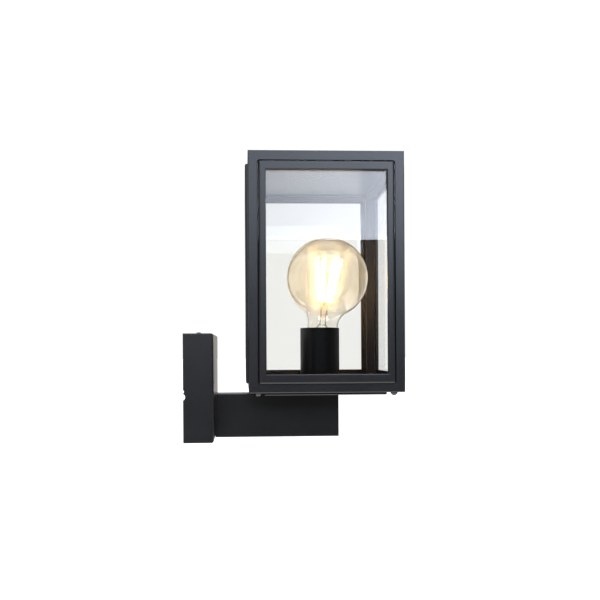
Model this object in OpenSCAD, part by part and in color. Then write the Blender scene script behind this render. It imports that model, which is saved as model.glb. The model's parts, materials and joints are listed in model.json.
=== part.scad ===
// Outdoor wall lantern: a square glazed housing standing on a cantilever arm.
// Origin: centre of the wall fixing, on the wall. +X points away from the wall, +Z up.

/* [Wall box] */
// Width of the wall box, along the wall
box_w = 120; // [110:1:140]
// Height of the wall box
box_h = 119; // [112:1:130]
// Depth of the wall box, out from the wall
box_d = 33; // [32:1:45]
// Thickness of the wall box's walls
box_wall = 2.5; // [2:0.5:3]
// Rounding of the wall box's front edges
box_round = 3; // [1:0.5:4]
// Spacing of the two wall screws, one above the other
wall_screw_spacing = 76; // [60:1:80]

/* [Arm] */
// Width of the arm tube
arm_w = 30; // [28:1:40]
// Height of the arm tube
arm_h = 50; // [48:1:54]
// Thickness of the arm tube's wall
arm_wall = 2; // [1.5:0.5:2]
// Distance from the wall to the arm's free end
arm_reach = 175; // [175:1:190]

/* [Housing] */
// Outer width of the square housing
housing_w = 166; // [160:1:180]
// Height of the housing, from its rim to its roof
housing_h = 255.8; // [240:0.1:280]
// Distance from the wall to the middle of the housing
housing_reach = 154; // [150:1:160]
// Thickness of the corner posts
post_w = 14; // [14:1:18]
// Flat border at the sides of each glazing frame
border_side = 9.6; // [9.6:0.1:10]
// Flat border above each glazing frame
border_top = 9.8; // [9.5:0.1:12]
// Flat border below each glazing frame
border_foot = 9.3; // [9:0.1:11]
// Width of a glazing frame's upright sides
glazing_side = 7.9; // [7:0.1:10]
// Height of a glazing frame's top rail
glazing_top = 9.6; // [7:0.1:10]
// Height of a glazing frame's bottom rail
glazing_sill = 10.3; // [7:0.1:11]
// Dark gap round a glazing frame
shadow_gap = 1.3; // [0.5:0.1:1.5]
// How far a glazing frame stands proud of the housing
glazing_proud = 3; // [2.5:0.5:4]
// Thickness of the glass
glass_t = 3; // [2.5:0.5:3]

/* [Lampholder] */
// Distance from the wall to the middle of the lampholder cup
holder_reach = 155; // [154:0.5:156]
// Outer diameter of the lampholder cup
cup_d = 45.6; // [45:0.1:50]
// Height of the cup's rim above the wall screws' middle
cup_top = 66.5; // [65:0.5:68]
// How far the lampholder is rocked outwards on its side screws, in degrees
holder_lean = 6; // [0:0.5:6]

/* [Bulb] */
// Diameter of the bulb's globe
globe_d = 95; // [80:5:95]
// Diameter of the bulb's neck
neck_d = 36; // [34:0.5:36]
// Number of LED filaments
filament_count = 8; // [4:2:8]

/* [Hidden] */
$fn = 72;

// Colours
coat = "#303136";
steel = "#b9bbbd";
zinc = "#a9a79c";
rubber = "#1d1d1f";
brass = "#c9a34e";
ceramic = "#ece8df";
blue = "#2f62b5";

// Turns that carry a panel from the left side to each side of the housing
LEFT = 0;
FRONT = 90;
RIGHT = 180;
BACK = 270;

cut = 1;              // how far a cutting shape runs past the face it cuts
gap = 0.3;            // air between pieces that move past each other
m4_r = 1.95;          // shank radius of an M4 screw
m4_clear_r = 2.25;    // clearance hole for M4
m3_r = 1.45;          // shank radius of an M3 screw

// Levels, from the arm up
arm_bottom = 0.5 - box_h / 2;
arm_top = arm_bottom + arm_h;
arm_mid = arm_bottom + arm_h / 2;
gasket_t = 1;
tray_t = 2;
pan_depth = 3.5;
tray_bottom = arm_top + gasket_t;
tray_floor = tray_bottom + tray_t;
rim_z = tray_bottom + pan_depth;
roof_z = rim_z + housing_h;

// Housing
half_w = housing_w / 2;
inner_half = half_w - post_w;
rebate_half = half_w - border_side;
rebate_foot = rim_z + border_foot;
rebate_top = roof_z - border_top;
rebate_h = rebate_top - rebate_foot;
shoulder = post_w - border_side;
rest_gap = 0.2;       // air under a glazing frame, which stands on its rebate
glazing_half = rebate_half - shadow_gap;
glazing_foot = rebate_foot + rest_gap;
glazing_h = rebate_h - rest_gap - shadow_gap;
view_half = glazing_half - glazing_side;
view_foot = glazing_foot + glazing_sill;
view_h = glazing_h - glazing_sill - glazing_top;
corner_r = 3;
seal_t = 1;
pane_out = 0.3;       // from the face of the cage in to the glass
pane_in = pane_out + glass_t;
rebate_depth = pane_in + seal_t;
pane_inset = 0.8;     // air round a pane in its rebate
pane_half = rebate_half - pane_inset;
pane_foot = rebate_foot + pane_inset;
pane_h = rebate_h - 2 * pane_inset;
roof_t = 2;
roof_rebate = 2.8;
roof_half = half_w - 7;
roof_play = 0.4;      // how much narrower the roof plate is than its rebate
roof_screw_at = inner_half + 3.3;
sink_t = 1.5;         // depth of a roof screw's countersunk head
ceiling_z = roof_z - 12.8;
ceiling_t = 1.2;
ceiling_side_h = 8;

// Tray
flange_t = 2;
flange_half = half_w - 3;
pan_half = half_w - 16;
lip_h = 3.5;          // how far the housing's rim hangs down round the tray's flange
corner_screw_at = half_w - 10;
tray_screw_x = [100, 127];

// Lampholder and bulb, along an axis that starts at the side screws
pivot_z = 38;
cup_wall = 1.2;
cup_floor_t = 1.5;
nipple_r = 5;
nipple_bore_r = 3.6;
nut_t = 4;
nut_r = 8.5;
body_r = 18.5;
body_low = -18;
body_high = 21.5;
shell_r = 13.35;      // inside of the holder's screw shell
cap_r = 13.1;         // outside of the bulb's screw cap
tip_low = -3;
tip_t = 1.2;
cap_low = 2;
cap_high = 23.5;
globe_r = globe_d / 2;
globe_s = cap_high + 16.5 + globe_r;
neck_r = neck_d / 2;
neck_fillet = 18;
glass_wall = 0.9;
stem_top = 56;
filament_low = 59.5;
filament_high = 110;

// ---------- shared shapes ----------

// A flat rectangle about the origin with round corners.
module rounded_rect(w, h, r) {
    square([w - 2 * r, h], center = true);
    square([w, h - 2 * r], center = true);
    for (x = [-1, 1], y = [-1, 1])
        translate([x * (w / 2 - r), y * (h / 2 - r)]) circle(r);
}

// A flat rectangle from y = 0 to y = d whose two corners at y = d are round.
module front_rounded(w, d, r) {
    translate([-w / 2, 0]) square([w, d - r]);
    translate([r - w / 2, 0]) square([w - 2 * r, d]);
    for (x = [-1, 1])
        translate([x * (w / 2 - r), d - r]) circle(r);
}

// The opening of a frame of depth d, flared where the frame's inner edges are round.
module flared(w, d, r) {
    translate([-w / 2, -cut]) square([w, d + 2 * cut]);
    for (x = [-1, 1])
        difference() {
            translate([x > 0 ? w / 2 - cut : -w / 2 - r, d - r]) square([r + cut, r + cut]);
            translate([x * (w / 2 + r), d - r]) circle(r);
        }
}

// A tube of rectangular section, standing on z = 0.
module square_ring(outer, inner, h, r = 1) {
    linear_extrude(h) difference() {
        rounded_rect(outer, outer, r);
        square(inner, center = true);
    }
}

// A domed screw at the origin, head up, with a cross recess.
module dome_screw(shank_r, shank_l, head_r, head_h) {
    sphere_r = (head_r * head_r + head_h * head_h) / (2 * head_h);
    difference() {
        union() {
            translate([0, 0, -shank_l]) cylinder(h = shank_l + 0.2, r = shank_r);
            intersection() {
                translate([0, 0, head_h - sphere_r]) sphere(sphere_r);
                cylinder(h = head_h, r = head_r);
            }
        }
        for (turn = [0, 90])
            rotate([0, 0, turn])
                translate([-head_r / 2, -head_r / 10, head_h / 2])
                    cube([head_r, head_r / 5, head_h]);
    }
}

// Turns a piece that faces the left side of the housing to another side.
module on_side(turn) {
    translate([housing_reach, 0, 0]) rotate([0, 0, turn]) children();
}

// Extrudes a flat shape drawn as the panel is seen, from n0 to n1 out of the face.
module panel_slab(n0, n1) {
    translate([0, -half_w - n0, 0]) rotate([90, 0, 0]) linear_extrude(n1 - n0) children();
}

// A rounded rectangle as the panel is seen, standing on the height foot.
module panel_rect(half, foot, h, r) {
    translate([0, foot + h / 2]) rounded_rect(2 * half, h, r);
}

// Cuts a bevel along the four bottom edges of a square block that stands on the height z.
module foot_bevel(half, z) {
    bevel = 0.8;
    side = bevel * sqrt(2);
    for (turn = [LEFT, FRONT, RIGHT, BACK])
        rotate([0, 0, turn]) translate([0, -half, z]) rotate([45, 0, 0])
            cube([2 * half + 2 * cut, side, side], center = true);
}

module at_housing() {
    translate([housing_reach, 0, 0]) children();
}

// Carries a piece drawn on an upright axis to the leaning axis of the lampholder.
module at_holder() {
    translate([holder_reach, 0, pivot_z]) rotate([0, holder_lean, 0]) children();
}

module at_corner_screws() {
    at_housing()
        for (x = [-1, 1], y = [-1, 1])
            translate([x * corner_screw_at, y * corner_screw_at, 0]) children();
}

// The four countersunk screws of the roof, from the level of its top face.
module at_roof_screws() {
    at_housing()
        for (x = [-1, 1], y = [-1, 1])
            translate([x * roof_screw_at, y * roof_screw_at, roof_z]) children();
}

// ---------- swept leads ----------

lead_r = 1;
lead_sides = 8;
lead_steps = 3;

function clamp_index(route, i) = route[max(0, min(len(route) - 1, i))];
function curve_point(a, b, c, d, t) =
    0.5 * (2 * b + (c - a) * t + (2 * a - 5 * b + 4 * c - d) * t * t
        + (3 * b - a - 3 * c + d) * t * t * t);
function smooth(route) = [
    for (i = [0 : len(route) - 2], k = [0 : lead_steps - 1])
        curve_point(clamp_index(route, i - 1), route[i], route[i + 1],
            clamp_index(route, i + 2), k / lead_steps),
    route[len(route) - 1]
];
function unit(v) = v / norm(v);
function tangent(path, i) = unit(clamp_index(path, i + 1) - clamp_index(path, i - 1));
function lead_ring(path, i) =
    let (
        along = tangent(path, i),
        side = unit(cross(along, [0.05, 1, 0.1])),
        up = cross(along, side)
    )
    [for (k = [0 : lead_sides - 1])
        path[i] + lead_r * (cos(360 * k / lead_sides) * side + sin(360 * k / lead_sides) * up)];

// A lead that follows a route of points on a smooth curve.
module lead(route) {
    path = smooth(route);
    rings = len(path);
    points = [for (i = [0 : rings - 1]) each lead_ring(path, i)];
    sides = [
        for (i = [0 : rings - 2], k = [0 : lead_sides - 1])
            let (a = i * lead_sides + k, b = i * lead_sides + (k + 1) % lead_sides)
            [a, b, b + lead_sides, a + lead_sides]
    ];
    start = [for (k = [lead_sides - 1 : -1 : 0]) k];
    end = [for (k = [0 : lead_sides - 1]) (rings - 1) * lead_sides + k];
    polyhedron(points = points, faces = concat([start], sides, [end]), convexity = 6);
}

// ---------- fixed to the wall ----------

bracket_t = 2;
bracket_half_w = 20;
ear_top = box_h / 2 - box_wall - 2.5;
ear_half_w = 10;
ear_l = 22;
box_screw_x = 13.3;
slot_r = 2.6;
slot_l = 14;
grommet_r = 10;
earth_at = [14, -18];

module slot_hole() {
    rotate([0, 90, 0]) {
        for (end = [-1, 1])
            translate([end * (slot_l / 2 - slot_r), 0, -cut]) cylinder(h = bracket_t + 2 * cut, r = slot_r);
        translate([slot_r - slot_l / 2, -slot_r, -cut])
            cube([slot_l - 2 * slot_r, 2 * slot_r, bracket_t + 2 * cut]);
    }
}

module wall_bracket() {
    color(zinc) difference() {
        union() {
            translate([0, -bracket_half_w, -ear_top])
                cube([bracket_t, 2 * bracket_half_w, 2 * ear_top]);
            for (end = [0, 1])
                mirror([0, 0, end])
                    translate([0, -ear_half_w, ear_top - bracket_t])
                        cube([ear_l, 2 * ear_half_w, bracket_t]);
        }
        for (end = [-1, 1])
            translate([0, 0, end * wall_screw_spacing / 2]) slot_hole();
        translate([-cut, 0, 0]) rotate([0, 90, 0]) cylinder(h = bracket_t + 2 * cut, r = grommet_r);
        translate([-cut, earth_at[0], earth_at[1]])
            rotate([0, 90, 0]) cylinder(h = bracket_t + 2 * cut, r = m4_r + 0.05);
        for (end = [-1, 1])
            translate([box_screw_x, 0, end * (ear_top - bracket_t / 2)])
                cylinder(h = 2 * bracket_t, r = m4_r + 0.05, center = true);
    }
}

module cable_grommet() {
    color(rubber) rotate([0, 90, 0]) rotate_extrude() difference() {
        union() {
            square([grommet_r, bracket_t]);
            translate([0, bracket_t]) square([grommet_r + 1.5, 1.5]);
            translate([0, bracket_t + 1.5]) square([grommet_r - 3, 1]);
        }
        translate([0, -cut]) square([4, bracket_t + 2.5 + 2 * cut]);
    }
}

module earth_lug() {
    lug_t = 0.8;
    barrel_r = 1.6;
    color(steel) translate([bracket_t, earth_at[0], earth_at[1]]) difference() {
        union() {
            rotate([0, 90, 0]) cylinder(h = lug_t, r = 4);
            translate([0, -1.5, 0]) cube([lug_t, 3, 6]);
            translate([barrel_r, 0, 4.5]) cylinder(h = 5.5, r = barrel_r);
        }
        translate([-cut, 0, 0]) rotate([0, 90, 0]) cylinder(h = 4, r = m4_r + 0.1);
        translate([barrel_r, 0, 5.5]) cylinder(h = 6, r = lead_r + 0.1);
    }
}

module earth_screw() {
    color(brass)
        translate([bracket_t + 0.8, earth_at[0], earth_at[1]])
            rotate([0, 90, 0]) dome_screw(m4_r, bracket_t + 0.6, 3.7, 2.6);
}

gasket_w = 2;
gasket_d = 4;

// A ring inside the box's rear edge, broken out where the box is.
module box_gasket() {
    inside_w = box_w - 2 * box_wall;
    inside_h = box_h - 2 * box_wall;
    color(rubber) difference() {
        rotate([90, 0, 90]) linear_extrude(gasket_d) difference() {
            square([inside_w, inside_h], center = true);
            square([inside_w - 2 * gasket_w, inside_h - 2 * gasket_w], center = true);
        }
        cable_notch();
    }
}

// Two scallops in the rear edge of the left wall, to break out for a surface cable.
module cable_notch() {
    length = box_wall + gasket_w + 2 * cut;
    translate([0, length - cut - box_w / 2, 0]) rotate([90, 0, 0]) {
        translate([-1.5, -9.6]) cylinder(h = length, r = 3.8);
        translate([-0.9, -3.7]) cylinder(h = length, r = 2);
    }
}

arm_screw_z = 15;     // from the arm's middle to each of its two fixing screws
wire_hole_r = 7;
block_y = 32;
block_x = 14;
block_z = 20;
block_foot = 10;
block_back = box_d - box_wall - block_x;
block_screw_y = 5;
pole_pitch = 10;
pole_inset = 4.5;     // from the block's top and foot to its terminal screws

module wall_box() {
    boss_h = 2.2;
    color(coat) difference() {
        union() {
            difference() {
                intersection() {
                    translate([0, 0, -box_h / 2]) linear_extrude(box_h)
                        rotate(-90) front_rounded(box_w, box_d, box_round);
                    translate([0, box_w / 2, 0]) rotate([90, 0, 0]) linear_extrude(box_w)
                        rotate(-90) front_rounded(box_h, box_d, box_round);
                    rotate([90, 0, 90]) linear_extrude(box_d) rounded_rect(box_w, box_h, 1);
                }
                translate([-cut, box_wall - box_w / 2, box_wall - box_h / 2])
                    cube([box_d - box_wall + cut, box_w - 2 * box_wall, box_h - 2 * box_wall]);
            }
            for (end = [0, 1])
                mirror([0, 0, end])
                    translate([box_screw_x, 0, box_h / 2 - box_wall - boss_h])
                        cylinder(h = boss_h + 1, r = 6);
        }
        for (end = [-1, 1])
            translate([box_screw_x, 0, end * box_h / 2])
                cylinder(h = 12, r = m4_clear_r, center = true);
        translate([box_d - box_wall - cut, 0, arm_mid]) rotate([0, 90, 0]) {
            cylinder(h = box_wall + 2 * cut, r = wire_hole_r);
            for (end = [-1, 1])
                translate([end * arm_screw_z, 0, 0]) cylinder(h = box_wall + 2 * cut, r = m4_clear_r);
        }
        for (y = [-block_screw_y, block_screw_y])
            translate([box_d - box_wall - cut, y, block_foot + block_z / 2])
                rotate([0, 90, 0]) cylinder(h = cut + box_wall - 0.5, r = m3_r + 0.05);
        cable_notch();
    }
}

module box_screws() {
    color(steel)
        for (end = [0, 1])
            mirror([0, 0, end])
                translate([box_screw_x, 0, box_h / 2]) dome_screw(m4_r, 9, 4, 3);
}

module terminal_block() {
    color(ceramic) difference() {
        translate([block_back, -block_y / 2, block_foot]) cube([block_x, block_y, block_z]);
        for (y = [-pole_pitch, 0, pole_pitch]) {
            translate([block_back + block_x / 2, y, block_foot - cut])
                cylinder(h = block_z + 2 * cut, r = 1.6);
            for (z = [pole_inset, block_z - pole_inset])
                translate([block_back - cut, y, block_foot + z])
                    rotate([0, 90, 0]) cylinder(h = block_x / 2 + cut, r = 1.75);
        }
        for (y = [-block_screw_y, block_screw_y])
            translate([block_back - cut, y, block_foot + block_z / 2])
                rotate([0, 90, 0]) cylinder(h = block_x + 2 * cut, r = m3_r + 0.15);
    }
}

module terminal_screws() {
    color(brass)
        for (y = [-pole_pitch, 0, pole_pitch], z = [pole_inset, block_z - pole_inset])
            translate([block_back + 0.6, y, block_foot + z]) rotate([0, 90, 0]) difference() {
                cylinder(h = 4.6, r = 1.65);
                translate([-2, -0.25, -cut]) cube([4, 0.5, cut + 0.8]);
            }
}

module block_screws() {
    color(steel)
        for (y = [-block_screw_y, block_screw_y])
            translate([block_back, y, block_foot + block_z / 2])
                rotate([0, -90, 0]) dome_screw(m3_r, block_x + 1.8, 2.6, 2);
}

// ---------- arm ----------

plug_l = 12;
cap_t = 2;

module arm_screws() {
    color(steel)
        for (end = [-1, 1])
            translate([box_d - box_wall, 0, arm_mid + end * arm_screw_z])
                rotate([0, -90, 0]) dome_screw(m4_r, box_wall + 10, 3.5, 2.5);
}

module arm_root_plug() {
    color(steel) translate([box_d, 0, arm_mid]) rotate([0, 90, 0]) difference() {
        translate([0, 0, plug_l / 2])
            cube([arm_h - 2 * arm_wall, arm_w - 2 * arm_wall, plug_l], center = true);
        translate([0, 0, -cut]) cylinder(h = plug_l + 2 * cut, r = wire_hole_r);
        for (end = [-1, 1])
            translate([end * arm_screw_z, 0, -cut]) cylinder(h = plug_l + 2 * cut, r = m4_r + 0.05);
    }
}

module arm_tube() {
    length = arm_reach - cap_t - box_d;
    color(coat) difference() {
        translate([box_d, 0, arm_mid]) rotate([90, 0, 90]) linear_extrude(length) difference() {
            rounded_rect(arm_w, arm_h, 1.2);
            square([arm_w - 2 * arm_wall, arm_h - 2 * arm_wall], center = true);
        }
        translate([holder_reach, 0, arm_top - arm_wall - cut])
            cylinder(h = arm_wall + 2 * cut, r = nipple_r + 0.2);
        for (x = tray_screw_x)
            translate([x, 0, arm_top - arm_wall - cut])
                cylinder(h = arm_wall + 2 * cut, r = m4_r + 0.05);
    }
}

module arm_end_cap() {
    lip = 7;
    lip_t = 1.6;
    lip_w = arm_w - 2 * arm_wall - 0.2;
    lip_z = arm_h - 2 * arm_wall - 0.2;
    color(coat) translate([arm_reach, 0, arm_mid]) rotate([90, 0, -90]) {
        linear_extrude(cap_t) rounded_rect(arm_w, arm_h, 1.2);
        linear_extrude(cap_t + lip) difference() {
            square([lip_w, lip_z], center = true);
            square([lip_w - 2 * lip_t, lip_z - 2 * lip_t], center = true);
        }
    }
}

// ---------- base tray ----------

module tray_gasket() {
    start = 90;
    inset = 2;
    color(rubber) difference() {
        translate([start, inset - arm_w / 2, arm_top])
            cube([arm_reach - inset - start, arm_w - 2 * inset, gasket_t]);
        translate([holder_reach, 0, arm_top - cut]) cylinder(h = gasket_t + 2 * cut, r = nipple_r + 0.2);
        for (x = tray_screw_x)
            translate([x, 0, arm_top - cut]) cylinder(h = gasket_t + 2 * cut, r = m4_clear_r);
    }
}

module base_tray() {
    color(coat) difference() {
        at_housing() difference() {
            union() {
                translate([0, 0, rim_z]) linear_extrude(flange_t)
                    rounded_rect(2 * flange_half, 2 * flange_half, 2);
                translate([0, 0, tray_bottom]) linear_extrude(pan_depth + flange_t)
                    rounded_rect(2 * pan_half, 2 * pan_half, 3);
            }
            translate([0, 0, tray_floor]) linear_extrude(pan_depth + 2 * cut)
                rounded_rect(2 * pan_half - 2 * tray_t, 2 * pan_half - 2 * tray_t, 2);
            foot_bevel(pan_half, tray_bottom);
        }
        at_corner_screws() translate([0, 0, rim_z - cut])
            cylinder(h = flange_t + 2 * cut, r = m4_clear_r);
        translate([holder_reach, 0, tray_bottom - cut])
            cylinder(h = tray_t + 2 * cut, r = nipple_r + 0.2);
        for (x = tray_screw_x)
            translate([x, 0, tray_bottom - cut]) cylinder(h = tray_t + 2 * cut, r = m4_clear_r);
    }
}

module tray_screws() {
    color(steel)
        for (x = tray_screw_x)
            translate([x, 0, tray_floor]) dome_screw(m4_r, 9, 3.7, 2.6);
}

module tray_seal() {
    seal_h = lip_h - flange_t - gap;
    color(rubber) at_housing() translate([0, 0, rim_z + flange_t]) difference() {
        square_ring(2 * flange_half - 1, 2 * inner_half + 2, seal_h);
        for (x = [-1, 1], y = [-1, 1])
            translate([x * corner_screw_at, y * corner_screw_at, -cut])
                cylinder(h = seal_h + 2 * cut, r = m4_clear_r);
    }
}

module corner_screws() {
    washer_t = 0.8;
    color(steel) at_corner_screws() translate([0, 0, rim_z]) mirror([0, 0, 1]) {
        difference() {
            cylinder(h = washer_t, r = 4.2);
            translate([0, 0, -cut]) cylinder(h = washer_t + 2 * cut, r = m4_r / 2);
        }
        translate([0, 0, washer_t]) dome_screw(m4_r, washer_t + 15, 3.75, 3.2);
    }
}

// ---------- lampholder ----------

bracket_strap_t = 1.2;
bracket_y = 20.9;
side_screw_tip = 14.1;

module holder_nipple() {
    length = 24;
    in_arm = 11;
    color(steel) translate([holder_reach, 0, arm_top - in_arm]) difference() {
        cylinder(h = length, r = nipple_r);
        translate([0, 0, -cut]) cylinder(h = length + 2 * cut, r = nipple_bore_r);
    }
}

module nipple_nuts() {
    color(steel)
        for (z = [tray_floor + cup_floor_t + bracket_strap_t, arm_top - arm_wall - nut_t])
            translate([holder_reach, 0, z]) difference() {
                cylinder(h = nut_t, r = nut_r, $fn = 6);
                translate([0, 0, -cut]) cylinder(h = nut_t + 2 * cut, r = nipple_r + 0.02);
            }
}

module holder_cup() {
    cup_r = cup_d / 2;
    height = cup_top - tray_floor;
    rim_r = cup_wall / 2;
    color(coat) translate([holder_reach, 0, tray_floor]) rotate_extrude() {
        translate([nipple_r + 0.2, 0]) square([cup_r - nipple_r - 0.2, cup_floor_t]);
        translate([cup_r - cup_wall, 0]) square([cup_wall, height - rim_r]);
        translate([cup_r - rim_r, height - rim_r]) circle(rim_r);
    }
}

module holder_bracket() {
    foot = tray_floor + cup_floor_t;
    strap_half = 4;
    color(zinc) translate([holder_reach, 0, foot]) difference() {
        union() {
            cylinder(h = bracket_strap_t, r = 9);
            translate([-strap_half, -bracket_y, 0])
                cube([2 * strap_half, 2 * bracket_y, bracket_strap_t]);
            for (side = [0, 1])
                mirror([0, side, 0])
                    translate([-strap_half, bracket_y - bracket_strap_t, 0])
                        cube([2 * strap_half, bracket_strap_t, pivot_z + 5 - foot]);
        }
        translate([0, 0, -cut]) cylinder(h = 4, r = nipple_r + 0.2);
        translate([0, 0, pivot_z - foot]) rotate([90, 0, 0])
            cylinder(h = 2 * bracket_y + 2, r = m3_r + 0.05, center = true);
    }
}

module holder_side_screws() {
    color(steel) translate([holder_reach, 0, pivot_z])
        for (side = [0, 1])
            mirror([0, side, 0]) translate([0, side_screw_tip, 0]) rotate([-90, 0, 0]) difference() {
                cylinder(h = bracket_y - side_screw_tip, r = m3_r);
                translate([-2, -0.25, bracket_y - side_screw_tip - 0.8]) cube([4, 0.5, 1]);
            }
}

terminal_at = 8;      // from the lampholder's axis to each of its two terminals

module holder_body() {
    color(ceramic) at_holder() difference() {
        translate([0, 0, body_low]) cylinder(h = body_high - body_low, r = body_r);
        translate([0, 0, -1]) cylinder(h = body_high + 2, r = shell_r + 0.5);
        translate([0, 0, -7]) cylinder(h = 8, r = 9);
        for (x = [-1, 1])
            translate([x * terminal_at, 0, body_low - cut]) cylinder(h = 9, r = 1.8);
        rotate([90, 0, 0])
            for (side = [0, 1])
                mirror([0, 0, side]) translate([0, 0, side_screw_tip]) cylinder(h = 8, r = m3_r + 0.05);
    }
}

module screw_shell() {
    color(brass) at_holder() translate([0, 0, -1]) difference() {
        cylinder(h = body_high - 1, r = shell_r + 0.5);
        translate([0, 0, -cut]) cylinder(h = body_high + 2, r = shell_r);
    }
}

// A sprung brass tongue, bent up from the floor of the lampholder under the bulb's tip.
module centre_contact() {
    tongue_t = 0.6;
    tongue_w = 6;
    tongue_top = tip_low - gap;
    color(brass) at_holder() translate([0, -tongue_w / 2, 0]) {
        translate([-7, 0, -7]) cube([8, tongue_w, tongue_t]);
        translate([-7, 0, -7]) cube([tongue_t, tongue_w, tongue_top + 7]);
        translate([-7, 0, tongue_top - tongue_t]) cube([12, tongue_w, tongue_t]);
    }
}

// Routes of the leads, from the terminal block through the arm to the lampholder.
live_route = [
    [23.5, -10, 14], [23.5, -10, 5], [23, -7, -10], [24, -3, -24], [31, -2, -33], [40, -2, -34],
    [60, -2, -37], [90, -3, -42], [120, -2, -40], [142, -1.5, -33], [153, -1.5, -26],
    [155, -1.5, -18], [155, -1.5, -8], [155, -1.5, 3], [152, -1, 10], [146.5, 0, 15],
    [145.2, 0, 20], [145.5, 0, 26]
];
neutral_route = [
    [23.5, 0, 14], [23.5, 0, 5], [23, 1, -10], [24, 2, -24], [31, 2, -31], [40, 2, -34],
    [60, 2, -36], [90, 3, -40], [120, 2, -42], [142, 1.5, -34], [153, 1.5, -26],
    [155, 1.5, -18], [155, 1.5, -8], [155, 1.5, 3], [157, 1, 9], [160, 0, 14],
    [161.1, 0, 19], [161.7, 0, 24]
];
earth_route = [
    [23.5, 10, 14], [23.5, 10, 5], [20, 12, -2], [12, 14, -5], [5, 14, -6], [3.6, 14, -9],
    [3.6, 14, -12]
];

module lead_live() {
    color("saddlebrown") lead(live_route);
}

module lead_neutral() {
    color(blue) lead(neutral_route);
}

module lead_earth() {
    color("yellowgreen") lead(earth_route);
}

// ---------- housing ----------

// One window through a side of the cage, with the rebate that takes glass and frame.
module window_cut() {
    panel_slab(-post_w - cut, cut)
        panel_rect(inner_half, rebate_foot + shoulder, rebate_h - 2 * shoulder, 0.5);
    panel_slab(-rebate_depth, cut) panel_rect(rebate_half, rebate_foot, rebate_h, corner_r);
}

module housing_cage() {
    color(coat) difference() {
        at_housing() difference() {
            translate([0, 0, rim_z]) linear_extrude(housing_h)
                rounded_rect(housing_w, housing_w, 1);
            translate([0, 0, rim_z - cut]) linear_extrude(housing_h + 2 * cut)
                square(2 * inner_half, center = true);
            translate([0, 0, rim_z - cut]) linear_extrude(lip_h + cut)
                rounded_rect(2 * flange_half + 2 * gap, 2 * flange_half + 2 * gap, 2);
            translate([0, 0, roof_z - roof_rebate]) linear_extrude(roof_rebate + cut)
                rounded_rect(2 * roof_half, 2 * roof_half, 2);
            foot_bevel(half_w, rim_z);
        }
        for (turn = [LEFT, FRONT, RIGHT, BACK])
            on_side(turn) window_cut();
        at_corner_screws() translate([0, 0, rim_z + lip_h - cut])
            cylinder(h = 15, r = m4_clear_r + 0.05);
        at_roof_screws() translate([0, 0, -12]) cylinder(h = 12, r = m3_r + 0.05);
    }
}

module roof_seal() {
    color(rubber) difference() {
        at_housing() translate([0, 0, roof_z - roof_rebate])
            square_ring(2 * roof_half - roof_play, 2 * inner_half + 1, roof_rebate - roof_t, 2);
        at_roof_screws() translate([0, 0, -roof_rebate - cut]) cylinder(h = 5, r = m3_r + 0.15);
    }
}

module roof_plate() {
    color(coat) difference() {
        at_housing() translate([0, 0, roof_z - roof_t]) linear_extrude(roof_t)
            rounded_rect(2 * roof_half - roof_play, 2 * roof_half - roof_play, 2);
        at_roof_screws() {
            translate([0, 0, -roof_t - cut]) cylinder(h = 5, r = m3_r + 0.15);
            translate([0, 0, -sink_t - 0.2])
                cylinder(h = sink_t + 0.3, r1 = m3_r + 0.1, r2 = m3_r + sink_t + 0.4);
        }
    }
}

// Countersunk screws through the roof into the corner posts.
module roof_screws() {
    color(steel) at_roof_screws() difference() {
        union() {
            translate([0, 0, -sink_t - 0.2]) cylinder(h = sink_t, r1 = m3_r, r2 = m3_r + sink_t);
            translate([0, 0, -10]) cylinder(h = 9, r = m3_r);
        }
        for (turn = [0, 90])
            rotate([0, 0, turn]) translate([-1.5, -0.3, -0.9]) cube([3, 0.6, 2]);
    }
}

// A folded tray that springs up between the cage's top rails.
module ceiling_tray() {
    color(coat) at_housing() translate([0, 0, ceiling_z]) difference() {
        linear_extrude(ceiling_side_h) rounded_rect(2 * inner_half - 0.2, 2 * inner_half - 0.2, 0.8);
        translate([0, 0, ceiling_t]) linear_extrude(ceiling_side_h)
            square(2 * inner_half - 0.2 - 2 * ceiling_t, center = true);
    }
}

// A frame bedded on the pane, with round outer and inner edges and a dark gap round it.
module glazing_frame(turn) {
    depth = pane_out + glazing_proud;
    outer_round = 2.4;
    inner_round = 1;
    color(coat) on_side(turn) difference() {
        intersection() {
            translate([0, 0, glazing_foot]) linear_extrude(glazing_h)
                translate([0, pane_out - half_w]) mirror([0, 1])
                    front_rounded(2 * glazing_half, depth, outer_round);
            rotate([90, 0, 90]) translate([0, 0, -half_w]) linear_extrude(housing_w)
                translate([pane_out - half_w, glazing_foot + glazing_h / 2]) rotate(90)
                    front_rounded(glazing_h, depth, outer_round);
            panel_slab(-pane_out, glazing_proud)
                panel_rect(glazing_half, glazing_foot, glazing_h, corner_r - shadow_gap / 2);
        }
        intersection() {
            translate([0, 0, rebate_foot]) linear_extrude(rebate_h)
                translate([0, pane_out - half_w]) mirror([0, 1])
                    flared(2 * view_half, depth, inner_round);
            rotate([90, 0, 90]) translate([0, 0, -half_w]) linear_extrude(housing_w)
                translate([pane_out - half_w, view_foot + view_h / 2]) rotate(90)
                    flared(view_h, depth, inner_round);
        }
    }
}

module pane(turn) {
    color("#dfe9ec", 0.3) on_side(turn) panel_slab(-pane_in, -pane_out)
        panel_rect(pane_half, pane_foot, pane_h, corner_r);
}

module pane_seal(turn) {
    seal_w = shoulder - 1.2;
    color(rubber) on_side(turn) panel_slab(-rebate_depth, -pane_in) difference() {
        panel_rect(pane_half, pane_foot, pane_h, corner_r);
        panel_rect(pane_half - seal_w, pane_foot + seal_w, pane_h - 2 * seal_w, 1);
    }
}

// ---------- bulb ----------

module bulb_tip() {
    color(steel) at_holder() translate([0, 0, tip_low]) cylinder(h = tip_t, r = 4.7);
}

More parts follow.
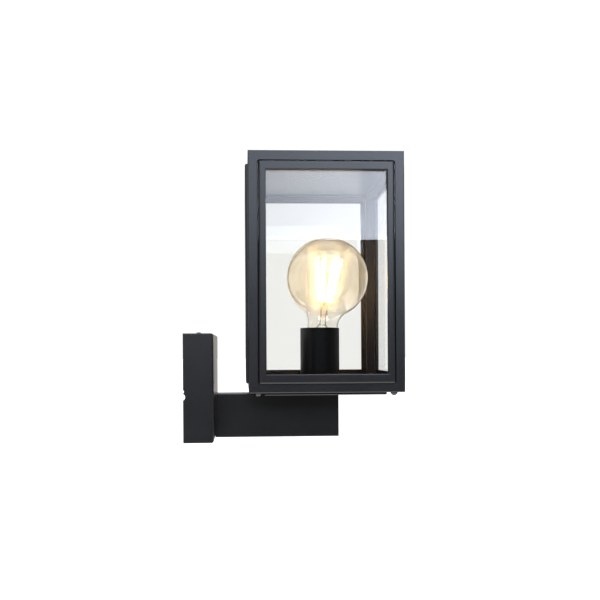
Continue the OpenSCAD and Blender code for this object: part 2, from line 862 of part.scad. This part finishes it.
module bulb_insulator() {
    color("#15161a") at_holder() translate([0, 0, tip_low + tip_t])
        cylinder(h = cap_low - tip_low - tip_t, r1 = 5.2, r2 = 11.4);
}

module bulb_cap() {
    thread_pitch = 3.629;
    inside_r = 11.6;
    color(steel) at_holder() rotate_extrude() difference() {
        union() {
            translate([inside_r, cap_low]) square([cap_r - inside_r, cap_high - cap_low]);
            translate([0, cap_low]) square([inside_r + 0.4, 1]);
        }
        for (turn = [0 : 4])
            translate([cap_r + 0.3, cap_low + 2.4 + turn * thread_pitch]) circle(1.1);
    }
}

// The small mains driver board inside the cap.
module bulb_driver() {
    color("seagreen") at_holder() {
        translate([-7.5, -0.5, cap_low + 2]) cube([15, 1, 17]);
        translate([-4, 0.5, cap_low + 4]) cube([7, 4, 6]);
        translate([1, -4.5, cap_low + 12]) cube([5, 4, 4]);
    }
}

// Half of the bulb's outline, drawn inwards by t: round shoulder, neck, fillet and globe.
module bulb_outline(t) {
    fillet_x = neck_r + neck_fillet;
    fillet_drop = sqrt(pow(globe_r + neck_fillet, 2) - fillet_x * fillet_x);
    shoulder_r = neck_r - cap_r + 0.1;
    intersection() {
        translate([0, cap_high - cut]) square([globe_r + cut, globe_s + globe_r]);
        union() {
            translate([0, globe_s]) circle(globe_r - t);
            translate([0, globe_s - fillet_drop]) difference() {
                polygon([[0, 0], [fillet_x, 0], [0, fillet_drop]]);
                circle_at(fillet_x, 0, neck_fillet + t);
            }
            translate([0, cap_high + shoulder_r])
                square([neck_r - t, globe_s - fillet_drop - cap_high - shoulder_r + 0.01]);
            translate([0, cap_high]) square([neck_r - shoulder_r - 0.01, shoulder_r + 1]);
            circle_at(neck_r - shoulder_r, cap_high + shoulder_r, shoulder_r - t);
        }
    }
}

module circle_at(x, y, r) {
    translate([x, y]) circle(r);
}

module bulb_envelope() {
    color("#e6c98f", 0.45) at_holder() rotate_extrude() difference() {
        intersection() {
            bulb_outline(0);
            translate([0, cap_high]) square(3 * globe_d);
        }
        bulb_outline(glass_wall);
    }
}

stem_tube_r = 3.4;

// Half of a solid stem's outline: a flare at the foot that narrows to a tube.
module stem_outline(r, foot, flare, top) {
    polygon([
        [0, foot], [flare, foot], [flare - 1, foot + 2], [r + 0.6, foot + 6], [r, foot + 12],
        [r, top], [0, top]
    ]);
}

// A hollow glass flare, pinched shut where the mast of the filaments stands on it.
module bulb_stem() {
    flare_r = 9;
    wall = 0.8;
    pinch = 5;
    foot = cap_high + 3;
    color("#eef3f2", 0.6) at_holder() rotate_extrude() difference() {
        stem_outline(stem_tube_r, foot, flare_r, stem_top);
        stem_outline(stem_tube_r - wall, foot - 0.5, flare_r - wall, stem_top - pinch);
    }
}

filament_r = 1.1;
crown_low_r = 8;
crown_high_r = 15.5;
filament_rise = filament_high - filament_low;
filament_splay = atan((crown_high_r - crown_low_r) / filament_rise);
filament_l = norm([filament_rise, crown_high_r - crown_low_r]);

// Turns a piece that lies along +X to the direction of each filament that k lists.
module turned_to_filaments(ks) {
    for (k = ks)
        rotate([0, 0, 360 * (k + 0.5) / filament_count]) children();
}

// Carries a piece to each filament's foot and tilts it along the filament.
module at_filaments() {
    turned_to_filaments([0 : filament_count - 1])
        translate([crown_low_r, 0, filament_low]) rotate([0, filament_splay, 0]) children();
}

module bulb_filaments() {
    color("#fff3c4") at_holder() at_filaments() cylinder(h = filament_l, r = filament_r);
}

// A hub with one spoke to each filament, level with the pins at the filaments' ends.
module crown(height, reach) {
    hub_r = 1.5;
    hub_t = 1.4;
    translate([0, 0, height - hub_t / 2]) cylinder(h = hub_t, r = hub_r);
    turned_to_filaments([0 : filament_count - 1])
        translate([hub_r / 2, 0, height]) rotate([0, 90, 0])
            cylinder(h = reach - hub_r / 2, r = 0.35);
}

// Two struts beside the stem, tied by two rings round it.
module stem_struts(top) {
    strut_at = 4.7;
    strut_low = stem_top - 12;
    turned_to_filaments([0, filament_count / 2])
        translate([strut_at, 0, strut_low]) cylinder(h = top - strut_low, r = 0.4);
    for (z = [strut_low + 1, stem_top - 3])
        translate([0, 0, z]) rotate_extrude() translate([strut_at, 0]) circle(0.35);
}

// The wires that carry the filaments: a crown at each end, joined by a mast.
module bulb_wires() {
    pin_l = 1.6;
    pin_r = 0.5;
    low = filament_low - pin_l / 2;
    high = filament_high + pin_l / 2;
    color(brass) at_holder() {
        translate([0, 0, stem_top]) cylinder(h = high - stem_top, r = 0.6);
        stem_struts(low);
        crown(low, crown_low_r);
        crown(high, crown_high_r);
        at_filaments() {
            translate([0, 0, -pin_l]) cylinder(h = pin_l, r = pin_r);
            translate([0, 0, filament_l]) cylinder(h = pin_l, r = pin_r);
        }
    }
}

// ---------- the nodes ----------

wall_bracket();
cable_grommet();
earth_screw();
earth_lug();
box_gasket();
wall_box();
box_screws();
terminal_block();
terminal_screws();
block_screws();
arm_screws();
arm_root_plug();
arm_tube();
arm_end_cap();
tray_gasket();
base_tray();
tray_screws();
tray_seal();
corner_screws();
holder_nipple();
nipple_nuts();
holder_cup();
holder_bracket();
holder_side_screws();
holder_body();
screw_shell();
centre_contact();
lead_live();
lead_neutral();
lead_earth();
housing_cage();
roof_plate();
roof_seal();
roof_screws();
ceiling_tray();
glazing_frame(LEFT);  // glazing_frame_left
glazing_frame(FRONT);  // glazing_frame_front
glazing_frame(RIGHT);  // glazing_frame_right
glazing_frame(BACK);  // glazing_frame_back
pane(LEFT);  // pane_left
pane(FRONT);  // pane_front
pane(RIGHT);  // pane_right
pane(BACK);  // pane_back
pane_seal(LEFT);  // pane_seal_left
pane_seal(FRONT);  // pane_seal_front
pane_seal(RIGHT);  // pane_seal_right
pane_seal(BACK);  // pane_seal_back
bulb_tip();
bulb_insulator();
bulb_cap();
bulb_driver();
bulb_envelope();
bulb_stem();
bulb_wires();
bulb_filaments();
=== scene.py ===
"""Looks, light and camera of the wall lantern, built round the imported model."""

import json
import math

import bpy
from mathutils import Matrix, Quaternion, Vector

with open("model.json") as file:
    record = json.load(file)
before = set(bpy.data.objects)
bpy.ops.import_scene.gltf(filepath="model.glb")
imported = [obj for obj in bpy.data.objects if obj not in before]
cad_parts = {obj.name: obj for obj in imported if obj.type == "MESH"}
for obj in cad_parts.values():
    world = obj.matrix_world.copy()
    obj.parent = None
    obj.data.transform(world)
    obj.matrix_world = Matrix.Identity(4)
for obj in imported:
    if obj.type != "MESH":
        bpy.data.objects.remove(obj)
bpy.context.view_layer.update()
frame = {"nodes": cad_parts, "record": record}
NODES = frame["nodes"]

# How strongly each light shines
FILAMENT_GLOW = 320.0
ROOM_GLOW = 0.6
SIDE_GLOW = 0.5
TABLE_GLOW = 2.5
SEEN_WHITE = 1.05
WALL_TOP_GLOW = 0.65

# Glass
GLASS_IOR = 1.5
GLASS_RIPPLE = 0.0000004
CLEAR = (0.99, 0.995, 0.993)

# Stage
FLOOR_LEVEL = -0.45
FLOOR_HALF = 40.0
BOUNCES = 24
GLOSSY_BOUNCES = 8


# ---------- material helpers ----------

class Build:
    """A material under construction: its node tree and short ways to add to it."""

    def __init__(self, name):
        self.material = bpy.data.materials.new(name)
        self.material.use_nodes = True
        self.tree = self.material.node_tree
        self.tree.nodes.clear()
        self.out = self.add("ShaderNodeOutputMaterial")
        self.place = self.add("ShaderNodeTexCoord").outputs["Object"]

    def add(self, kind, **settings):
        node = self.tree.nodes.new(kind)
        for key, value in settings.items():
            if hasattr(node, key) and key not in node.inputs:
                setattr(node, key, value)
            else:
                node.inputs[key].default_value = value
        return node

    def link(self, source, target):
        self.tree.links.new(source, target)

    def principled(self, **values):
        node = self.add("ShaderNodeBsdfPrincipled")
        for key, value in values.items():
            node.inputs[key.replace("_", " ")].default_value = value
        self.link(node.outputs[0], self.out.inputs["Surface"])
        self.shader = node
        return node

    def noise(self, scale, detail=3.0, stretch=None, roughness=0.5):
        source = self.place
        if stretch is not None:
            mapping = self.add("ShaderNodeMapping")
            mapping.inputs["Scale"].default_value = stretch
            self.link(source, mapping.inputs["Vector"])
            source = mapping.outputs[0]
        node = self.add("ShaderNodeTexNoise", Scale=scale, Detail=detail, Roughness=roughness)
        self.link(source, node.inputs["Vector"])
        return node.outputs["Fac"]

    def remap(self, source, low, high, from_low=0.3, from_high=0.7):
        node = self.add("ShaderNodeMapRange")
        for key, value in (("From Min", from_low), ("From Max", from_high),
                           ("To Min", low), ("To Max", high)):
            node.inputs[key].default_value = value
        self.link(source, node.inputs["Value"])
        return node.outputs["Result"]

    def ramp(self, source, stops):
        node = self.add("ShaderNodeValToRGB")
        elements = node.color_ramp.elements
        while len(elements) < len(stops):
            elements.new(0.5)
        for element, (position, colour) in zip(elements, stops):
            element.position = position
            element.color = (*colour, 1.0)
        self.link(source, node.inputs["Fac"])
        return node.outputs["Color"]

    def math(self, operation, a, b):
        node = self.add("ShaderNodeMath", operation=operation)
        for socket, value in zip(node.inputs, (a, b)):
            if isinstance(value, (int, float)):
                socket.default_value = value
            else:
                self.link(value, socket)
        return node.outputs[0]

    def bump(self, height, distance, strength=1.0, after=None):
        node = self.add("ShaderNodeBump", Distance=distance, Strength=strength)
        self.link(height, node.inputs["Height"])
        if after is not None:
            self.link(after, node.inputs["Normal"])
        return node.outputs["Normal"]


def mixed_colours(dark, light):
    return [(0.3, dark), (0.7, light)]


# ---------- materials ----------

def powder_coat():
    """Black powder coat: a fine even grain, a slow orange peel and a slightly cloudy gloss."""
    b = Build("powder_coat")
    b.principled(IOR=1.5, Specular_Tint=(0.93, 0.96, 1.0, 1))
    grain = b.noise(1500.0, 2.0)
    peel = b.noise(260.0, 2.0)
    clouds = b.noise(18.0, 4.0)
    b.link(b.ramp(clouds, mixed_colours((0.0042, 0.0042, 0.0045), (0.0058, 0.0058, 0.0062))),
           b.shader.inputs["Base Color"])
    rough = b.math("ADD", b.remap(clouds, 0.33, 0.37), b.remap(grain, -0.03, 0.03))
    b.link(rough, b.shader.inputs["Roughness"])
    slow = b.bump(peel, 0.00004, 0.5)
    b.link(b.bump(grain, 0.00005, 0.45, after=slow), b.shader.inputs["Normal"])
    return b.material


def bare_metal(name, dark, light, roughness, grain_scale=900.0, stretch=None):
    """A plated or polished metal with fine tool marks and faint staining."""
    b = Build(name)
    b.principled(Metallic=1.0)
    stain = b.noise(140.0, 4.0)
    marks = b.noise(grain_scale, 3.0, stretch)
    b.link(b.ramp(stain, mixed_colours(dark, light)), b.shader.inputs["Base Color"])
    b.link(b.math("ADD", b.remap(stain, roughness - 0.05, roughness + 0.05), b.remap(marks, -0.05, 0.05)),
           b.shader.inputs["Roughness"])
    b.link(b.bump(marks, 0.00003, 0.35), b.shader.inputs["Normal"])
    return b.material


def moulded(name, dark, light, roughness, grain=700.0, distance=0.00004, **values):
    """Moulded plastic, rubber or porcelain: a faint mottle and a fine moulded grain."""
    b = Build(name)
    b.principled(**values)
    mottle = b.noise(90.0, 4.0)
    fine = b.noise(grain, 3.0)
    b.link(b.ramp(mottle, mixed_colours(dark, light)), b.shader.inputs["Base Color"])
    b.link(b.math("ADD", b.remap(mottle, roughness - 0.04, roughness + 0.04), b.remap(fine, -0.04, 0.04)),
           b.shader.inputs["Roughness"])
    b.link(b.bump(fine, distance, 0.4), b.shader.inputs["Normal"])
    return b.material


def striped_lead():
    """Green insulation with a yellow stripe that runs round it."""
    b = Build("striped_lead")
    b.principled(Roughness=0.38)
    wave = b.add("ShaderNodeTexWave", Scale=60.0, Distortion=1.5)
    b.link(b.place, wave.inputs["Vector"])
    b.link(b.ramp(wave.outputs["Fac"], [(0.48, (0.05, 0.30, 0.06)), (0.52, (0.75, 0.62, 0.03))]),
           b.shader.inputs["Base Color"])
    b.link(b.bump(b.noise(900.0), 0.00003, 0.3), b.shader.inputs["Normal"])
    return b.material


def circuit_board():
    """Green lacquer over copper tracks."""
    b = Build("circuit_board")
    b.principled(Roughness=0.35)
    tracks = b.add("ShaderNodeTexBrick", Scale=400.0)
    tracks.inputs["Color1"].default_value = (0.02, 0.13, 0.05, 1)
    tracks.inputs["Color2"].default_value = (0.03, 0.18, 0.07, 1)
    tracks.inputs["Mortar"].default_value = (0.16, 0.22, 0.06, 1)
    tracks.inputs["Mortar Size"].default_value = 0.06
    b.link(b.place, tracks.inputs["Vector"])
    b.link(tracks.outputs["Color"], b.shader.inputs["Base Color"])
    b.link(b.bump(tracks.outputs["Fac"], 0.00005, 0.6), b.shader.inputs["Normal"])
    return b.material


def tinted(b, tint, foot_tint, foot):
    """A slightly mottled tint that gives way to another one below a height range."""
    mottle = b.noise(25.0, 2.0)
    colour = b.ramp(mottle, mixed_colours([c * 0.995 for c in tint], tint))
    if foot is None:
        return colour
    height = b.add("ShaderNodeSeparateXYZ")
    b.link(b.place, height.inputs[0])
    mix = b.add("ShaderNodeMix", data_type="RGBA")
    b.link(b.remap(height.outputs["Z"], 0.0, 1.0, *foot), mix.inputs["Factor"])
    mix.inputs[6].default_value = (*foot_tint, 1)
    b.link(colour, mix.inputs[7])
    return mix.outputs[2]


def clear_glass(name, tint, ripple, glow=0.0, spread=0.0, lamp_share=0.96, deep_share=1.0,
                foot_tint=None, foot=None):
    """Glass that bends what is seen through it and may glow and blur a little.

    glow is the share of light it scatters all round, spread the share it blurs.
    Light that falls through it on matt pieces goes straight, and lamp_share of it passes each face.
    deep_share is how much of the mirror image is left on glass that is seen through other glass.
    """
    b = Build(name)
    colour = tinted(b, tint, foot_tint, foot)
    waves = b.bump(b.noise(9.0, 1.0), ripple)
    path = b.add("ShaderNodeLightPath").outputs

    def bent(kind, roughness):
        node = b.add(kind, Roughness=roughness, IOR=GLASS_IOR)
        b.link(colour, node.inputs["Color"])
        b.link(waves, node.inputs["Normal"])
        return node.outputs[0]

    def mixed(share, first, second):
        node = b.add("ShaderNodeMixShader")
        if isinstance(share, float):
            node.inputs[0].default_value = share
        else:
            b.link(share, node.inputs[0])
        b.link(first, node.inputs[1])
        b.link(second, node.inputs[2])
        return node.outputs[0]

    wall = bent("ShaderNodeBsdfGlass", 0.0)
    if deep_share < 1.0:
        deep = b.math("MULTIPLY", b.math("GREATER_THAN", path["Transmission Depth"], 1.5), 1.0 - deep_share)
        wall = mixed(deep, wall, bent("ShaderNodeBsdfRefraction", 0.0))
    if spread > 0.0:
        wall = mixed(spread, wall, bent("ShaderNodeBsdfRefraction", 0.35))
    if glow > 0.0:
        film = b.add("ShaderNodeBsdfTranslucent")
        film.inputs["Color"].default_value = (0.62, 0.85, 1.0, 1)
        wall = mixed(glow, wall, film.outputs[0])
    lamp_way = b.add("ShaderNodeBsdfTransparent")
    lamp_way.inputs["Color"].default_value = (*[c * lamp_share for c in tint], 1)
    sharp = b.math("ADD", path["Is Camera Ray"], path["Is Singular Ray"])
    b.link(mixed(sharp, lamp_way.outputs[0], wall), b.out.inputs["Surface"])
    return b.material


def lit_filament():
    """Yellow phosphor in silicone, glowing."""
    b = Build("lit_filament")
    b.principled(Roughness=0.5, Emission_Color=(1.0, 0.62, 0.28, 1), Emission_Strength=FILAMENT_GLOW)
    b.link(b.ramp(b.noise(1200.0), mixed_colours((0.85, 0.62, 0.18), (0.95, 0.75, 0.3))),
           b.shader.inputs["Base Color"])
    b.link(b.bump(b.noise(1600.0), 0.00005, 0.3), b.shader.inputs["Normal"])
    return b.material


MATERIALS = {
    "coat": powder_coat(),
    "stainless": bare_metal("stainless", (0.42, 0.42, 0.41), (0.52, 0.52, 0.51), 0.14),
    "zinc_plate": bare_metal("zinc_plate", (0.48, 0.49, 0.47), (0.62, 0.61, 0.54), 0.36),
    "black_steel": bare_metal("black_steel", (0.035, 0.035, 0.035), (0.06, 0.06, 0.058), 0.12),
    "clear_glass": clear_glass("clear_glass", CLEAR, GLASS_RIPPLE, deep_share=0.35),
    "amber_glass": clear_glass("amber_glass", (0.985, 0.948, 0.895), 0.000003, glow=0.004, spread=0.045,
                               foot_tint=(0.993, 0.983, 0.966), foot=(0.082, 0.098)),
    "seal_rubber": moulded("seal_rubber", (0.012, 0.012, 0.013), (0.02, 0.02, 0.021), 0.7),
    "porcelain": moulded("porcelain", (0.72, 0.70, 0.65), (0.80, 0.78, 0.73), 0.42),
    "brass": bare_metal("brass", (0.60, 0.40, 0.14), (0.80, 0.58, 0.25), 0.28),
    "gilt_wire": bare_metal("gilt_wire", (0.90, 0.68, 0.34), (0.98, 0.80, 0.46), 0.45),
    "nickel_plate": bare_metal("nickel_plate", (0.56, 0.54, 0.50), (0.68, 0.66, 0.62), 0.25),
    "insulator": moulded("insulator", (0.008, 0.008, 0.01), (0.014, 0.014, 0.018), 0.12),
    "terminal_plastic": moulded("terminal_plastic", (0.70, 0.69, 0.64), (0.78, 0.77, 0.72), 0.42),
    "driver_board": circuit_board(),
    "filament": lit_filament(),
    "live_insulation": moulded("live_insulation", (0.16, 0.06, 0.02), (0.22, 0.09, 0.035), 0.36),
    "neutral_insulation": moulded("neutral_insulation", (0.02, 0.07, 0.35), (0.035, 0.10, 0.44), 0.36),
    "earth_insulation": striped_lead(),
}


def dress(node, material):
    slots = node.data.materials
    if not slots:
        slots.append(material)
    for index in range(len(slots)):
        slots[index] = material


for part in frame["record"]["subparts"]:
    dress(NODES[part["node"]], MATERIALS[part["material_slot"]])
# The panes towards the softbox and the bright side keep most of that light off the pieces inside.
shaded_glass = clear_glass("shaded_glass", CLEAR, GLASS_RIPPLE, lamp_share=0.5, deep_share=0.35)
for side in ("left", "front"):
    dress(NODES["pane_" + side], shaded_glass)


# ---------- stage ----------

def softbox(name, lower_edge, upper_edge, left, right, left_glow, right_glow, foot_boost, colour):
    """A slanted rectangular light between two level edges, each given as its Y and Z.

    It grows brighter from left to right across its middle, and towards its lower edge.
    """
    low = Vector((0.0, *lower_edge))
    high = Vector((0.0, *upper_edge))
    rise = high - low
    lamp = bpy.data.lights.new(name, "AREA")
    lamp.shape = "RECTANGLE"
    lamp.size = right - left
    lamp.size_y = rise.length
    lamp.energy = lamp.size * lamp.size_y * math.pi
    lamp.color = colour
    lamp.use_nodes = True
    tree = lamp.node_tree
    along = tree.nodes.new("ShaderNodeSeparateXYZ")
    tree.links.new(tree.nodes.new("ShaderNodeNewGeometry").outputs["Parametric"], along.inputs[0])
    glow = tree.nodes.new("ShaderNodeMath")
    glow.operation = "MULTIPLY"
    grades = (("X", 0.45, 0.86, left_glow, right_glow), ("Y", 0.0, 0.3, foot_boost, 1.0))
    for socket, (axis, start, end, first, last) in zip(glow.inputs, grades):
        grade = tree.nodes.new("ShaderNodeMapRange")
        for key, value in (("From Min", start), ("From Max", end), ("To Min", first), ("To Max", last)):
            grade.inputs[key].default_value = value
        tree.links.new(along.outputs[axis], grade.inputs["Value"])
        tree.links.new(grade.outputs[0], socket)
    tree.links.new(glow.outputs[0], tree.nodes["Emission"].inputs["Strength"])
    panel = bpy.data.objects.new(name, lamp)
    panel.location = (low + high) / 2 + Vector(((left + right) / 2, 0.0, 0.0))
    panel.rotation_euler = (math.atan2(rise.z, rise.y), 0.0, 0.0)
    bpy.context.scene.collection.objects.link(panel)
    return panel


def pale_floor(level):
    mesh = bpy.data.meshes.new("floor")
    corners = [(x * FLOOR_HALF, y * FLOOR_HALF, level) for x, y in ((-1, -1), (1, -1), (1, 1), (-1, 1))]
    mesh.from_pydata(corners, [], [(0, 1, 2, 3)])
    floor = bpy.data.objects.new("floor", mesh)
    bpy.context.scene.collection.objects.link(floor)
    b = Build("pale_floor")
    b.principled(Roughness=0.9, Emission_Color=(1, 1, 1, 1), Emission_Strength=1.0)
    b.link(b.ramp(b.noise(3.0), mixed_colours((0.80, 0.80, 0.80), (0.82, 0.82, 0.82))),
           b.shader.inputs["Base Color"])
    mesh.materials.append(b.material)
    floor.visible_glossy = False
    floor.visible_diffuse = False
    floor.visible_transmission = False


def studio_world():
    """White for the camera; as light, a bright wall behind, a table below, a room lit on the left."""
    world = bpy.data.worlds.new("studio")
    bpy.context.scene.world = world
    world.use_nodes = True
    tree = world.node_tree
    tree.nodes.clear()
    add, link = tree.nodes.new, tree.links.new
    place = add("ShaderNodeTexCoord")
    axes = add("ShaderNodeSeparateXYZ")
    link(place.outputs["Generated"], axes.inputs[0])

    def fade(axis, start, end, low, high):
        node = add("ShaderNodeMapRange")
        node.interpolation_type = "SMOOTHSTEP"
        for key, value in (("From Min", start), ("From Max", end), ("To Min", low), ("To Max", high)):
            node.inputs[key].default_value = value
        link(axes.outputs[axis], node.inputs["Value"])
        return node.outputs["Result"]

    def combine(operation, a, b):
        node = add("ShaderNodeMath")
        node.operation = operation
        link(a, node.inputs[0])
        link(b, node.inputs[1])
        return node.outputs[0]

    behind_lamp = fade("Y", -0.25, 0.25, 0.0, 1.0)
    wall = combine("MULTIPLY", behind_lamp, fade("Z", 0.155, 0.167, 1.0, WALL_TOP_GLOW))
    table = fade("Z", -0.25, -0.7, 0.02, TABLE_GLOW)
    on_left = fade("X", 0.05, -0.25, 0.0, ROOM_GLOW)
    room_left = combine("MULTIPLY", on_left, fade("Y", 0.0, -0.2, 0.0, 1.0))
    room = combine("MAXIMUM", room_left, fade("X", 0.4, 0.7, 0.0, SIDE_GLOW))
    seen = add("ShaderNodeBackground")
    seen.inputs["Color"].default_value = (1, 1, 1, 1)
    seen.inputs["Strength"].default_value = SEEN_WHITE
    lit = add("ShaderNodeBackground")
    lit.inputs["Color"].default_value = (1.0, 0.985, 0.96, 1)
    link(combine("MAXIMUM", wall, combine("MAXIMUM", table, room)), lit.inputs["Strength"])
    path = add("ShaderNodeLightPath")
    mix = add("ShaderNodeMixShader")
    link(path.outputs["Is Camera Ray"], mix.inputs[0])
    link(lit.outputs[0], mix.inputs[1])
    link(seen.outputs[0], mix.inputs[2])
    out = add("ShaderNodeOutputWorld")
    link(mix.outputs[0], out.inputs["Surface"])


def camera():
    lens = bpy.data.cameras.new("camera")
    lens.sensor_width = 36.0
    lens.lens = 41.13
    lens.shift_x = 0.0446
    lens.shift_y = 0.0838
    lens.clip_end = 100.0
    eye = bpy.data.objects.new("camera", lens)
    eye.location = (0.06643, -0.80346, 0.04067)
    turn = -0.0422
    roll = 0.0056
    eye.rotation_mode = "QUATERNION"
    level = Quaternion((1, 0, 0), math.pi / 2)
    eye.rotation_quaternion = Quaternion((0, 0, 1), turn) @ level @ Quaternion((0, 0, 1), -roll)
    bpy.context.scene.collection.objects.link(eye)
    bpy.context.scene.camera = eye


pale_floor(FLOOR_LEVEL)
studio_world()
camera()
softbox("front_softbox", lower_edge=(-1.58, 0.40), upper_edge=(-0.50, 1.90), left=-0.7, right=0.95,
        left_glow=2.6, right_glow=6.5, foot_boost=1.35, colour=(0.88, 0.95, 1.10))

paths = bpy.context.scene.cycles
paths.max_bounces = BOUNCES
paths.transmission_bounces = BOUNCES
paths.transparent_max_bounces = BOUNCES
paths.glossy_bounces = GLOSSY_BOUNCES

view = bpy.context.scene.view_settings
view.view_transform = "Standard"
view.look = "None"
